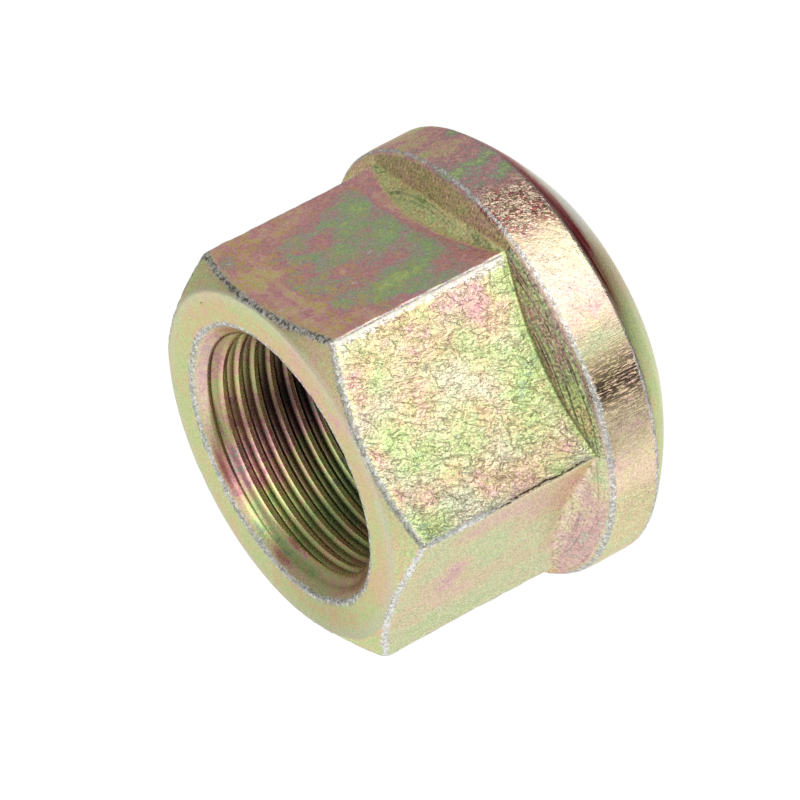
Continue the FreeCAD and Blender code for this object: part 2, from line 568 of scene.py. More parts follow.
@dataclass
class FilmMap:
    """Where the film lies thin or thick, and its tint, which is a place on its ring of colours, 0 to 1.

    Each zone has a tint and a depth. Neck and cone have tints for the right front, front and left front
    sides. The patches of the rim, the face, the countersink and the thread are given as bearing, reach
    and tint, in degrees. Those of the flats have a FilmPatch's values in order. Paleness on the rim is
    painted highlight, paleness inward on the seat painted light, and depth on the right front flat partly
    painted shade.
    """

    nut: Surface
    crimson: float = 0.36
    zone_tints: dict = field(default_factory=lambda: {
        Zone.FOOT_SINK: (0.20, 0.5),
        Zone.LAND: (0.05, 0.4),
        Zone.SEAT: (0.03, 0.35),
        Zone.RIM: (0.10, 0.35),
        Zone.CONE: (0.06, 0.9),
        Zone.NECK: (-0.04, 0.6),
        Zone.FLAT: (-0.05, 0.2),
        Zone.CHAMFER: (-0.06, 0.1),
        Zone.FACE: (-0.06, 0.15),
        Zone.HEAD_SINK: (0.18, 0.1),
        Zone.THREAD: (0.0, 0.8),
    })
    neck_tints: tuple[float, ...] = (-0.10, -0.20, 0.10)
    cone_tints: tuple[float, ...] = (0.05, 0.47, 0.27)
    rim_patches: tuple = (
        (-8.0, 6.0, 0.33), (-18.0, 3.0, 0.50), (-27.0, 5.0, 0.34), (-34.0, 4.0, 0.62),
        (-41.0, 4.0, 0.53), (-50.0, 6.0, 0.38), (-78.0, 2.5, 0.14), (-84.0, 3.5, 0.22),
        (-91.0, 3.0, -0.06), (-112.0, 7.0, 0.07), (-124.0, 10.0, 0.16), (-150.0, 16.0, -0.10),
    )
    face_patches: tuple = (
        (-62.0, 30.0, 0.11), (0.0, 18.0, 0.05), (55.0, 36.0, -0.12), (125.0, 30.0, -0.09),
        (-118.0, 12.0, -0.04), (-146.0, 11.0, 0.09), (-168.0, 12.0, -0.18),
    )
    bore_patches: tuple = (
        (42.0, 30.0, 0.25), (92.0, 10.0, 0.24), (118.0, 9.0, -0.25), (134.0, 6.0, 0.24),
        (168.0, 22.0, 0.04),
    )
    thread_patches: tuple = (
        (42.0, 26.0, 0.06), (84.0, 16.0, 0.30), (128.0, 22.0, -0.22), (172.0, 16.0, 0.0),
    )
    flat_patches: dict = field(default_factory=lambda: {
        Side.RIGHT_FRONT: (
            (0.0, 17.0, 14.0, 14.0, 0.47), (1.0, 15.5, 2.2, 5.0, 0.60), (2.4, 16.4, 3.0, 3.0, 0.60),
            (5.1, 13.1, 1.8, 1.8, 0.62), (-0.1, 19.1, 1.6, 1.6, 0.60), (0.6, 22.2, 1.8, 1.1, 0.33),
            (3.0, 18.8, 0.9, 1.8, 0.33), (4.3, 19.3, 1.3, 0.9, 0.60), (-2.2, 19.6, 1.4, 1.2, 0.35),
            (5.2, 23.0, 1.6, 1.2, 0.22), (-6.3, 17.2, 1.8, 4.2, 0.64), (-4.4, 13.6, 1.6, 2.0, 0.62),
            (-7.0, 12.2, 1.4, 2.0, 0.36), (-7.6, 22.0, 1.2, 2.5, 0.32), (-1.4, 24.0, 2.6, 0.45, 0.0),
            (-4.2, 23.4, 1.2, 0.8, 0.03), (2.4, 25.0, 2.4, 0.45, 0.05), (6.2, 25.2, 1.0, 1.0, 0.52),
            (3.6, 23.6, 3.0, 0.8, 0.17), (-2.8, 25.2, 3.4, 0.7, 0.19), (7.5, 20.0, 1.4, 5.0, 0.20),
            (-5.2, 21.8, 1.4, 1.8, 0.55), (1.5, 11.6, 8.0, 0.55, 0.30),
        ),
        Side.FRONT: (
            (5.8, 22.9, 2.2, 2.2, -0.22), (4.4, 25.4, 1.6, 1.1, 0.15), (7.4, 18.8, 1.5, 4.2, 0.10),
            (4.6, 17.6, 1.6, 1.5, -0.20), (5.4, 12.6, 2.8, 2.4, 0.26), (7.0, 10.2, 1.1, 1.3, -0.21),
            (4.0, 15.6, 1.6, 1.4, -0.20), (0.0, 24.0, 1.8, 2.4, -0.22), (-2.1, 22.4, 1.6, 2.6, -0.19),
            (-0.8, 26.0, 1.0, 0.9, 0.20), (-1.0, 11.9, 4.2, 2.6, -0.20), (2.7, 10.2, 1.8, 1.0, -0.21),
            (-6.8, 11.6, 1.0, 1.2, 0.23), (-3.9, 13.2, 2.2, 2.4, -0.20), (-7.9, 12.4, 0.9, 1.0, -0.20),
            (-4.2, 26.0, 1.2, 1.0, 0.18), (-7.3, 24.3, 1.5, 2.0, -0.22), (-6.2, 18.4, 1.3, 1.3, 0.24),
            (-7.2, 15.2, 1.2, 2.4, 0.10), (-5.3, 23.6, 1.0, 1.0, 0.24), (-4.5, 20.7, 1.2, 1.4, 0.08),
            (-1.7, 16.8, 1.4, 1.6, 0.12), (-2.6, 18.6, 2.6, 2.4, -0.12), (1.8, 21.0, 2.2, 2.0, 0.08),
            (5.3, 19.0, 2.0, 2.8, 0.08, 0.9), (2.4, 14.4, 1.6, 1.8, -0.10),
        ),
        Side.LEFT_FRONT: (
            (5.4, 13.6, 2.6, 3.6, 0.17), (6.6, 18.4, 1.6, 3.0, 0.19), (2.4, 18.2, 2.4, 2.0, -0.24),
            (0.8, 21.6, 2.4, 2.2, 0.24), (-0.6, 13.0, 2.6, 2.4, -0.06), (-3.6, 20.4, 2.4, 2.6, 0.14),
            (-6.4, 18.0, 2.2, 8.0, -0.18), (3.2, 10.0, 3.0, 1.0, 0.24), (4.0, 23.4, 3.0, 1.2, -0.10),
        ),
    })

    def __post_init__(self) -> None:
        """Makes the flats' patches, and works out what several methods need."""
        nut = self.nut
        self.patches = [FilmPatch(side, *row) for side, rows in self.flat_patches.items() for row in rows]
        self.uneven = Noise(21).at(nut.points, 2.2)
        self.beside = bell(nut.bearing, -42, 30)
        self.band = nut.face * rise(nut.radius, nut.body.face_radius - 1.1, 0.9)
        self.past = nut.inward() * rise(nut.bearing, -70, 10)

    def by_zone(self, place: int) -> np.ndarray:
        """Each point's value from its zone's row: the tint at place 0, the depth at place 1."""
        return np.array([self.zone_tints[zone][place] for zone in Zone])[self.nut.zone]

    def share(self, patch: FilmPatch) -> np.ndarray:
        """How far a flat's patch holds at each point: a bell curve with an uneven border.

        Args:
            patch: the patch.

        Returns:
            Shares, (points,).
        """
        nut = self.nut
        reach = 1.0 if patch.side is Side.RIGHT_FRONT else 1.2
        across = (nut.along - patch.along) / (reach * patch.reach_along)
        up = (nut.height - patch.height) / (reach * patch.reach_up)
        curve = np.exp(-((across ** 2 + up ** 2) * (1 + 0.5 * self.uneven)) ** 1.5)
        return patch.weight * curve * nut.on_side(patch.side) * nut.flat

    def pulls(self) -> Iterator[tuple[np.ndarray, float]]:
        """All that draws the tint towards its own: the stain, the sides of neck and cone, the patches.

        Yields:
            The share at each point, and the tint.
        """
        nut = self.nut
        bearing = nut.bearing
        yield nut.by_rim() * rise(bearing, -76, 8) * rise(bearing, 20, -20), self.crimson
        yield nut.chamfer * self.beside, 0.05
        for zone, tints in ((nut.neck, self.neck_tints), (nut.cone, self.cone_tints)):
            for side, tint in zip((nut.right, nut.front, nut.left), tints):
                yield zone * side, tint
        for middle, reach, tint in self.rim_patches:
            yield 0.9 * nut.rim * bell(bearing + 3 * self.uneven, middle, reach), tint
        around = (
            (nut.sunk, 6, self.bore_patches),
            (nut.turns, 6, self.thread_patches),
            (nut.face, 12, self.face_patches),
        )
        for zone, shift, patches in around:
            for middle, reach, tint in patches:
                turn = (bearing - middle + shift * self.uneven + 180) % 360 - 180
                yield zone * bell(turn, 0, reach), tint
        for patch in self.patches:
            yield self.share(patch), patch.tint

    def tint(self) -> np.ndarray:
        """The film's tint at each point: the zone's, shifted here and there and drawn towards others.

        Returns:
            Tints, (points,).
        """
        nut = self.nut
        tints = self.by_zone(0) - 0.16 * self.band * self.beside
        for share, tint in self.pulls():
            tints += share * (tint - tints)
        lit = rise(nut.bearing, -78, -12) * rise(nut.bearing, -170, 20)
        # A pink tint inward on the seat, part of its painted light.
        tints += 0.20 * self.past - 0.18 * lit * nut.seat
        tints += 0.30 * nut.cone * nut.front * rise(nut.along, 1, -6)
        return tints - 0.50 * nut.cone * nut.left * rise(nut.along, 4.4, 2)

    def thinness(self) -> np.ndarray:
        """How pale the film is shown, 0 to 1: less where it lies deep, and most on the rim where its
        highlight falls, as a painted highlight.

        Returns:
            Shares, (points,).
        """
        nut = self.nut
        bearing = nut.bearing
        covered = np.max([self.share(patch) for patch in self.patches if patch.side is Side.FRONT], axis=0)
        # Painted highlight: the rim's film paler around bearing -72, and at -90 and below -104.
        painted_highlight = 0.42 * bell(bearing, -72, 12) + 0.25 * bell(bearing, -90, 5) + 0.2 * rise(bearing, -104, -6)
        paler = nut.rim * painted_highlight + 0.36 * nut.sunk * bell(nut.turn(40), 0, 36)
        paler += nut.front * (nut.flat * (0.48 - 0.50 * covered) + 0.22 * nut.cone)
        paler += nut.left * (0.38 * (nut.cone + nut.neck) + 0.27 * nut.flat)
        # Painted light: paler inward on the seat; the band on the face beside the chamfer is paler film.
        paler += 0.3 * nut.inward() + 0.35 * self.past + 0.35 * self.band
        return np.clip(0.24 * (1 - self.depth()) + paler, 0, 1)

    def depth(self) -> np.ndarray:
        """How thick and dark the film lies, 0 to 1: the zone's, and more on the right front flat, where it
        is partly painted shade of that side.
        """
        nut = self.nut
        return np.clip(self.by_zone(1) + 0.6 * nut.right * (nut.flat + nut.neck), 0, 1)


@dataclass
class Marks:
    """What forging, turning and handling left on the nut, and the painted shade and highlights, as one value
    for each point.
    """

    nut: Surface
    film: FilmMap
    forging: Forging
    scored_places: tuple = ((-102.0, 8.0, 1.0), (-89.0, 5.0, 0.25))
    painted_highlight_corner: float = -60.0
    lapped_corner: float = -120.0
    dent: tuple = (13.7, 0.8)
    dent_reach: float = 0.6

    def lapped(self) -> np.ndarray:
        """1 along the upright edge with the lap crack, where the film is whole, falling to 0 beside it."""
        height = self.nut.height
        beside = rise(np.abs(self.nut.turn(self.lapped_corner)), 6, -4)
        return beside * rise(height, 9.0, 0.8) * rise(height, 20.0, -4.0)

    def scored(self) -> np.ndarray:
        """How strongly the rim is scored along the axis, by bearing: rough places and chance ones.

        Returns:
            Shares, (points,).
        """
        nut = self.nut
        chance = np.clip(Noise(31).at(nut.points * [1, 1, 0.2], 6.0) - 0.25, 0, 1)
        share = 0.06 + 0.5 * chance + 0.35 * bell(nut.bearing, -104, 14)
        for middle, reach, most in self.scored_places:
            share = np.maximum(share, most * bell(nut.bearing, middle, reach))
        return nut.rim * share

    def painted_highlight(self) -> np.ndarray:
        """How near each point is to the upright edge that carries a painted highlight, a pale band beside
        it, 0 to 1.

        Returns:
            Shares, (points,).
        """
        nut = self.nut
        reach = 0.12 + 0.88 * nut.front
        here = nut.flat * (np.abs(nut.turn(self.painted_highlight_corner)) < 20)
        return here * rise(nut.from_corner, 1.15 * reach, -reach)

    def stained(self) -> np.ndarray:
        """How deep the seat is stained beside the rim's worn places, and the countersink in streaks.

        Returns:
            Shares, (points,).
        """
        bearing = self.nut.bearing
        near = rise(bearing, -92, 12) * rise(bearing, 14, -30) * (0.65 + 0.35 * bell(bearing, -72, 14))
        streaks = 0.75 * bell(bearing, 90, 11) + 0.6 * bell(bearing, 134, 6)
        return self.nut.by_rim() * near + self.nut.sunk * streaks

    def dented(self) -> np.ndarray:
        """How near each point of the face is to its one small dent, 0 to 0.5."""
        away = np.hypot(*(self.nut.points[:, :2] - self.dent).T)
        return 0.5 * self.nut.face * rise(away, self.dent_reach, -self.dent_reach)

    def crumpled(self) -> np.ndarray:
        """How crumpled the rim is: one place is, with ragged borders."""
        ragged = self.nut.bearing + 3 * Noise(33).at(self.nut.points, 1.5)
        return 1.3 * self.nut.rim * bell(ragged, -52, 7.5, 4)

    def bared(self) -> np.ndarray:
        """How bright the bared zinc is: dull on the chamfer's edge, most over the front flat."""
        nut = self.nut
        return 1 - nut.by_shoulder() * (0.15 + 0.33 * nut.front - 0.45 * nut.left)

    def wrinkled(self) -> np.ndarray:
        """How wrinkled the forged skin is: most on the front flat and the rim's crumpled place.

        Returns:
            Factors, (points,).
        """
        nut = self.nut
        flats = nut.flat * (0.45 - 0.25 * (nut.right + nut.left) + 0.45 * nut.front)
        flats *= (1 + 0.3 * rise(nut.along, 0, -6)) * rise(nut.from_corner, 0.1, 0.6)
        rim = 0.4 * nut.rim * bell(nut.bearing, -74, 14, 4)
        return flats + rim + 0.4 * nut.neck + 0.2 * nut.cone + self.crumpled()

    def shade(self) -> np.ndarray:
        """Painted shade and light: how much darker each point is shown, most in the thread's roots and in
        the groove of the neck; below 0 it is shown lighter.

        Returns:
            Shares, (points,).
        """
        nut, body = self.nut, self.nut.body
        bearing, along, front = nut.bearing, nut.along, nut.front
        below = rise(nut.height, body.height - 3.2, -3.0)
        dim = below * bell(nut.turn(78), 0, 44)
        root = rise(nut.radius, body.bore_radius, 0.12)
        far = bell(nut.turn(162), 0, 34)
        # Painted shade in the bore: darker deeper down, darker around bearing 78, and darkest in the
        # thread's roots.
        shade = nut.turns * (0.01 + 0.13 * below + 0.40 * dim + root * (0.40 - 0.04 * dim))
        # Painted shade on the countersink in bands by bearing, over its stained streaks and around bearing
        # 168, and on the face, most around bearing 162.
        streaks = 0.08 * bell(bearing, 168, 30) + 0.3 * bell(bearing, 91, 11)
        shade += nut.sunk * (0.09 + streaks + 0.10 * far) + nut.face * (0.07 + 0.20 * far)
        # Painted shade and light on the rim by bearing, and painted shade on the chamfer, most around
        # bearing -42.
        wear_and_painted_shade = 0.20 * bell(bearing, -92, 8) + 0.04 * bell(bearing, -68, 12) - 0.06 * rise(bearing, -106, -8)
        shade += nut.rim * wear_and_painted_shade + nut.chamfer * (0.03 + 0.21 * bell(bearing, -42, 26))
        # Painted shade: a dark line on the seat along the rim's edge.
        lip = nut.seat * bell(nut.inset, 0, 0.3)
        shade += lip * (0.35 + 0.4 * rise(bearing, -98, 8) * rise(bearing, -60, -8))
        # Painted light: the seat shown lighter inward from the rim.
        shade -= nut.inward() * (0.12 + 0.30 * rise(bearing, -72, 12) * rise(bearing, 20, -20))
        # Painted shade on the cone and in the neck's groove.
        shade += nut.cone * (front * (0.24 - 0.12 * rise(along, 0, -5)) + 0.31 * nut.right)
        groove = rise(nut.radius, body.hexagon()[nut.column], 0.12)
        shade += nut.neck * (front * (0.12 + 0.55 * groove) - 0.05 * nut.left)
        # Painted shade and light on the flats: by side, and darker towards one end of the front flat.
        shade += nut.flat * (front * (0.03 + 0.15 * rise(along, -1, -6)) + 0.06 * nut.left)
        shade -= 0.08 * nut.flat * nut.right
        # Painted shade on the edge's rounding beside the painted highlight band.
        beside = rise(nut.from_corner, 0.392, -0.28) * (self.painted_highlight() > 0)
        return shade + 0.45 * beside * front

    def attributes(self) -> dict[str, np.ndarray]:
        """The point attributes that the finish reads.

        Returns:
            Arrays by attribute name.
        """
        nut, film = self.nut, self.film
        right, front, left = nut.right, nut.front, nut.left
        flat, neck, cone, rim = nut.flat, nut.neck, nut.cone, nut.rim
        seat, chamfer, face, sunk = nut.seat, nut.chamfer, nut.face, nut.sunk
        bared = self.bared()
        land, foot, head = (nut.within(zone) for zone in (Zone.LAND, Zone.FOOT_SINK, Zone.HEAD_SINK))
        spread = 1 - 0.5 * (chamfer + head + face + neck) - 0.6 * rim * rise(nut.bearing, -40, -20)
        spread -= flat * (0.4 + 0.15 * left + 0.05 * front + 0.08 * right)
        lined = 0.28 * (face + land + seat + nut.turns) + 0.5 * chamfer + 0.35 * neck + foot
        sooty = np.clip(0.40 + 0.6 * nut.by_shoulder() * (1 - left - 0.8 * front), 0, 1)
        sink_lines = sunk * (0.1 + 0.6 * bell(nut.bearing, 114, 17))
        return {
            "edge": nut.edge_distance() + 0.5 * self.lapped(),
            "tint": film.tint(),
            "depth": film.depth(),
            "thin": film.thinness(),
            "spread": spread - 0.55 * seat - cone * (0.5 - 0.2 * left),
            "wrinkle": self.wrinkled(),
            "turned": face + chamfer + head + foot + land + 1.4 * seat,
            "striae": self.scored(),
            "specks": 0.35 * flat + 0.9 * cone + 0.6 * neck + 0.25 * chamfer,
            "soot": sooty * (2 - np.clip(bared, 1, 2)),
            "crack": self.forging.crack(nut) + self.dented(),
            "crumple": self.crumpled(),
            "rough": 0.20 + 0.08 * (cone + neck) + 0.04 * flat * front,
            "shade": self.shade(),
            "zinc": bared,
            "painted_highlight": self.painted_highlight(),
            "veined": (neck + 0.4 * cone) * right + 0.4 * neck,
            "gilded": flat * right * np.clip((nut.height - 13) / 9, 0.4, 1),
            "lined": lined + cone * (0.15 + front) + sink_lines,
            "combed": cone * (0.25 + 0.75 * front + 0.2 * left) + 0.6 * neck,
            "stain": self.stained(),
            "grit": 1.9 - 1.1 * face - 0.5 * (chamfer + seat) - 0.9 * nut.thread - 0.7 * flat * right,
            "pebbles": cone * (1 + 0.5 * front - 0.5 * left) + 0.7 * neck + 0.1 * (flat + rim),
        }


class Wire:
    """A value in a node tree. Arithmetic with numbers and other wires adds Math nodes."""

    def __init__(self, board: "NodeBoard", socket: bpy.types.NodeSocket) -> None:
        """Keeps the board and the output socket that gives the value."""
        self.board = board
        self.socket = socket

    def __add__(self, other: "Wire | float") -> "Wire":
        """The sum."""
        return self.board.math("ADD", self, other)

    def __sub__(self, other: "Wire | float") -> "Wire":
        """What is left of this value."""
        return self.board.math("SUBTRACT", self, other)

    def __rsub__(self, other: float) -> "Wire":
        """What is left of a number."""
        return self.board.math("SUBTRACT", other, self)

    def __mul__(self, other: "Wire | float") -> "Wire":
        """The product."""
        return self.board.math("MULTIPLY", self, other)

    def __abs__(self) -> "Wire":
        """The value without its sign."""
        return self.board.math("ABSOLUTE", self)


class NodeBoard:
    """Adds nodes to one node tree, and sets or links their sockets."""

    def __init__(self, tree: bpy.types.NodeTree) -> None:
        """Empties the tree."""
        self.tree = tree
        tree.nodes.clear()

    def add(self, kind: str, inputs: dict | None = None, **settings: object) -> bpy.types.Node:
        """Adds a node.

        Args:
            kind: the node's type.
            inputs: values or wires by input name or number.
            settings: the node's own properties.

        Returns:
            The node.
        """
        node = self.tree.nodes.new(kind)
        for name, value in settings.items():
            setattr(node, name, value)
        for name, value in (inputs or {}).items():
            if isinstance(value, Wire):
                self.tree.links.new(value.socket, node.inputs[name])
            else:
                node.inputs[name].default_value = value
        return node

    def wire(self, kind: str, inputs: dict | None = None, output: int | str = 0, **settings: object) -> Wire:
        """Adds a node and takes one of its outputs, by name or number."""
        return Wire(self, self.add(kind, inputs, **settings).outputs[output])

    def math(self, operation: str, *values: Wire | float) -> Wire:
        """A Math node's result."""
        return self.wire("ShaderNodeMath", dict(enumerate(values)), operation=operation)

    def span(self, value: Wire, low: float, high: float) -> Wire:
        """0 where the value is at low, 1 where it is at high, smoothed between them."""
        inputs = {0: value, 1: low, 2: high, 3: 0.0, 4: 1.0}
        return self.wire("ShaderNodeMapRange", inputs, interpolation_type="SMOOTHSTEP")

    def mix(self, factor: Wire | float, first: Wire, second: Wire | tuple, blend: str = "MIX") -> Wire:
        """A colour between two others, by a factor that the node holds between 0 and 1."""
        inputs = {0: factor, 6: first, 7: second}
        return self.wire("ShaderNodeMix", inputs, 2, data_type="RGBA", blend_type=blend)

    def between(self, factor: Wire, first: Wire | float, second: Wire | float) -> Wire:
        """A number between two others."""
        return self.wire("ShaderNodeMix", {0: factor, 2: first, 3: second})

    def attribute(self, name: str) -> Wire:
        """A point attribute's value."""
        return self.wire("ShaderNodeAttribute", output="Fac", attribute_name=name)

    def noise(self, *values: Wire | float, **settings: str) -> Wire:
        """Noise from 0 to 1, by vector, scale in cells per unit, detail, roughness, distortion and W."""
        names = ("Vector", "Scale", "Detail", "Roughness", "Distortion", "W")
        return self.wire("ShaderNodeTexNoise", dict(zip(names, values)), **settings)

    def stretch(self, vector: Wire, scale: tuple[float, float, float]) -> Wire:
        """The vector with each axis scaled."""
        return self.wire("ShaderNodeMapping", {"Vector": vector, "Scale": scale})

    def ramp(self, factor: Wire, stops: Iterable, interpolation: str = "LINEAR") -> Wire:
        """A colour ramp with (place, colour) stops, of which there are at least two.

        Args:
            factor: where on the ramp to look.
            stops: the places from 0 to 1, each with its colour.
            interpolation: how the ramp runs between its stops.

        Returns:
            The colour.
        """
        node = self.add("ShaderNodeValToRGB", {"Fac": factor})
        node.color_ramp.interpolation = interpolation
        elements = node.color_ramp.elements
        while len(elements) < len(stops):
            elements.new(0.5)
        for element, (place, colour) in zip(elements, stops):
            element.position = place
            element.color = (*colour, 1.0)
        return Wire(self, node.outputs["Color"])

    def mirrored(self) -> Wire:
        """1 for a ray that was reflected or refracted, 0 for any other."""
        return self.math("MAXIMUM", self.ray("Glossy"), self.ray("Transmission"))

    def ray(self, kind: str) -> Wire:
        """1 for a ray of one kind, 0 for any other."""
        return self.wire("ShaderNodeLightPath", output=f"Is {kind} Ray")


@dataclass(frozen=True)
class ChromateFinish:
    """Yellow chromate on zinc: an iridescent film, worn off to grey zinc along the edges, with painted
    shade, highlights and glints.
    """

    name: str = "yellow_chromate_zinc"
    film: tuple = (
        (0.00, (0.84, 0.68, 0.30)),
        (0.13, (0.92, 0.64, 0.40)),
        (0.26, (0.90, 0.46, 0.45)),
        (0.37, (0.77, 0.31, 0.36)),
        (0.48, (0.59, 0.48, 0.43)),
        (0.60, (0.41, 0.60, 0.31)),
        (0.74, (0.60, 0.80, 0.26)),
        (0.88, (0.74, 0.80, 0.36)),
        (1.00, (0.84, 0.68, 0.30)),
    )
    pale: tuple = (0.84, 0.79, 0.66, 1.0)
    bright: tuple = (0.85, 0.79, 0.69, 1.0)
    dull: tuple = (0.54, 0.47, 0.41, 1.0)
    zinc: tuple = (0.78, 0.78, 0.76)
    soot: tuple = (0.07, 0.06, 0.055, 1.0)
    stain: tuple = (0.38, 0.03, 0.04, 1.0)
    painted_crease_shade: tuple = (0.20, 0.12, 0.06, 1.0)
    score: tuple = (0.06, 0.04, 0.03, 1.0)
    crushed: tuple = (0.42, 0.08, 0.10, 1.0)
    tarnish: tuple = (0.17, 0.16, 0.08, 1.0)
    ridge_highlight: tuple = (0.84, 0.70, 0.50, 1.0)
    gilt: tuple = (0.86, 0.66, 0.18, 1.0)
    vein_and_glint: tuple = (0.88, 0.80, 0.46, 1.0)
    crack: tuple = (0.13, 0.075, 0.045, 1.0)
    lean: float = 30.0
    ring_scale: float = 0.14
    ring_pace: float = 2.4
    comb_pace: float = 2.8

    def build(self) -> bpy.types.Material:
        """Makes the material.

        The film's place on the ring is the tint attribute plus noise of three sizes. The wear, the
        specks, the relief and the painted shade, highlights and glints follow the other attributes of the
        mesh.

        Returns:
            The material.
        """
        material = bpy.data.materials.new(self.name)
        material.use_nodes = True
        board = NodeBoard(material.node_tree)
        read, noise, span, mix = board.attribute, board.noise, board.span, board.mix
        here = board.wire("ShaderNodeTexCoord", output="Object")
        spot = board.wire("ShaderNodeVectorMath", {0: here, "Scale": 1 / MM}, operation="SCALE")
        level = board.stretch(spot, (1, 1, 0))
        radius = board.wire("ShaderNodeVectorMath", {0: level}, "Value", operation="LENGTH")
        lean = (0.0, math.radians(self.lean), 0.0)
        leaning = {"Vector": spot, "Rotation": lean, "Scale": (1.0, 1.0, 2.0)}
        leaning = board.wire("ShaderNodeMapping", leaning, vector_type="TEXTURE")
        wrinkle, striae, specked = read("wrinkle"), read("striae"), read("specks")
        combed, pebbled, stained = read("combed"), read("pebbles"), read("stain")

        folds = abs(noise(leaning, 1.15, 3.0, 0.5, 0.6) - 0.5)
        wrinkles = abs(noise(leaning, 2.7, 2.0, 0.5, 0.6) - 0.5)
        patchy = span(noise(spot, 0.8, 2.0, 0.6), 0.36, 0.62)
        pitted = noise(leaning, 2.0, 4.0, 0.62, 0.5)
        valleys = board.math("MINIMUM", folds, 0.09) * 3.0 - 0.27
        ripples = board.math("MINIMUM", wrinkles, 0.10) * 1.7 - 0.17
        creases = pitted + valleys * span(folds, 0.30, 0.0) + ripples * patchy
        grain = noise(spot, 6.5, 3.0, 0.7, 0.3)
        pebbles = noise(spot, 4.2, 2.0, 0.6, 0.2)
        pace = combed * (self.comb_pace / self.ring_scale) + self.ring_pace / self.ring_scale
        rings = noise(spot, self.ring_scale, 3.0, 0.7, 0.0, radius * pace, noise_dimensions="4D")
        streaks = noise(board.stretch(spot, (1, 1, 0.13)), 9.0, 3.0, 0.65, 0.6)

        drawn = board.stretch(spot, (1, 1, 0.8))
        broad = noise(drawn, 0.30, 1.0, 0.5, 0.8) * 0.80 - 0.40
        middle = noise(drawn, 1.1, 3.0, 0.6, 0.7) * 1.15 - 0.575
        fine = noise(drawn, 3.4, 3.0, 0.65, 0.5) * 0.76 - 0.38
        lined = (rings * 1.8 - 0.9) * read("lined")
        phase = (middle + fine + broad) * read("spread") + read("tint") + lined + 2.0
        deep = read("depth")
        colour = board.ramp(board.math("FRACT", phase), self.film)
        # Thicker film is duller; on the right front flat this is partly painted shade.
        colour = mix(deep * 0.11, colour, self.dull)
        colour = mix(read("thin"), colour, self.pale)
        # Painted highlight: a pale band beside one upright edge, with a ragged border.
        ragged = noise(spot, 1.5, 5.0, 0.7) * 3.0 - 1.5
        colour = mix(span(read("painted_highlight") + ragged, 0.35, 0.6) * 0.92, colour, self.bright)
        colour = mix(span(rings, 0.68, 0.46) * stained, colour, self.stain)
        # The shade attribute's painted shade and light, with a little lift for the film's depth, and random
        # tone from grain, comb lines and pebbles.
        shade = (deep * 0.02 + 1.0) * (1.0 - read("shade")) * ((grain - 0.5) * read("grit") + 1.0)
        shade *= span(rings, 0.50, 0.38) * combed * -0.72 + 1.0
        shade *= (pebbles - 0.5) * pebbled * 2.2 + 1.0
        grey = board.wire("ShaderNodeCombineColor", {0: shade, 1: shade, 2: shade})
        colour = mix(1.0, colour, grey, "MULTIPLY")

        # Painted shade: the creases' hollows darkened.
        painted_crease_shade = span(folds, 0.035, 0.0) * span(pitted, 0.62, 0.40)
        painted_crease_shade = board.math("MAXIMUM", painted_crease_shade, span(creases, 0.36, 0.06)) * wrinkle
        colour = mix(painted_crease_shade * 0.44, colour, self.painted_crease_shade)
        colour = mix(span(streaks, 0.60, 0.50) * striae, colour, self.score)
        # The crumpled place: the film's dark crimson and green, with cream lines painted as highlights on
        # its ridges.
        ridges = span(abs(noise(spot, 1.35, 3.0, 0.6, 1.0) - 0.5), 0.066, 0.02)
        crumpled = mix(ridges, mix(span(pebbles, 0.42, 0.6), self.crushed, self.tarnish), self.ridge_highlight)
        colour = mix(board.math("MINIMUM", read("crumple"), 1.0) * 0.85, colour, crumpled)
        arcs = noise(board.stretch(spot, (0.45, 0.45, 1.2)), 1.9, 3.0, 0.6, 0.9)
        gilt = span(abs(arcs - 0.5), 0.055, 0.015) * read("gilded") * (patchy * 0.8 + 0.2)
        colour = mix(gilt, colour, self.gilt)
        # Pale veins on neck and cone, and bright specks painted as glints.
        veins = span(abs(noise(leaning, 1.9, 3.0, 0.6, 0.8) - 0.5), 0.03, 0.005) * read("veined")
        glints = span(noise(spot, 4.4, 2.0, 0.7), 0.67, 0.74) * specked
        colour = mix(board.math("MAXIMUM", veins, glints) * 0.6, colour, self.vein_and_glint)
        specks = span(noise(spot, 3.1, 2.0, 0.7), 0.70, 0.76) * specked
        colour = mix(specks * 0.8, colour, self.soot)

        frayed = noise(spot, 3.6, 4.0, 0.7) * 0.95 - 0.40 + noise(spot, 0.7, 3.0, 0.6) * 0.5
        wear_and_painted_shade = span(frayed - read("edge"), -0.12, 0.06)
        scuffed = (noise(spot, 4.6, 3.0, 0.7) * 3.0 - 0.5) * read("zinc")
        zinc = board.wire("ShaderNodeVectorMath", {0: self.zinc, "Scale": scuffed}, operation="SCALE")
        flecks = span(noise(spot, 2.2, 5.0, 0.78), 0.53, 0.44)
        colour = mix(wear_and_painted_shade * 0.84, colour, mix(flecks * read("soot"), zinc, self.soot))
        gap = (noise(spot, 3.2, 4.0, 0.75) * 5.0 - 1.6) * read("crack")
        colour = mix(span(gap, 0.26, 0.44), colour, self.crack)

        relief = creases * wrinkle * 0.15 + grain * 0.012 + pebbles * pebbled * 0.055
        relief += rings * read("turned") * 0.010 + streaks * striae * 0.13 - flecks * wear_and_painted_shade * 0.012
        shader = board.wire("ShaderNodeBsdfPrincipled", {
            "Base Color": colour,
            "Metallic": 0.92,
            "Roughness": grain * 0.16 + read("rough"),
            "Specular Tint": mix(stained * -0.4 + 0.5, colour, WHITE),
            "Normal": board.wire("ShaderNodeBump", {"Height": relief, "Distance": MM, "Strength": 1.0}),
        })
        board.add("ShaderNodeOutputMaterial", {"Surface": shader})
        return material


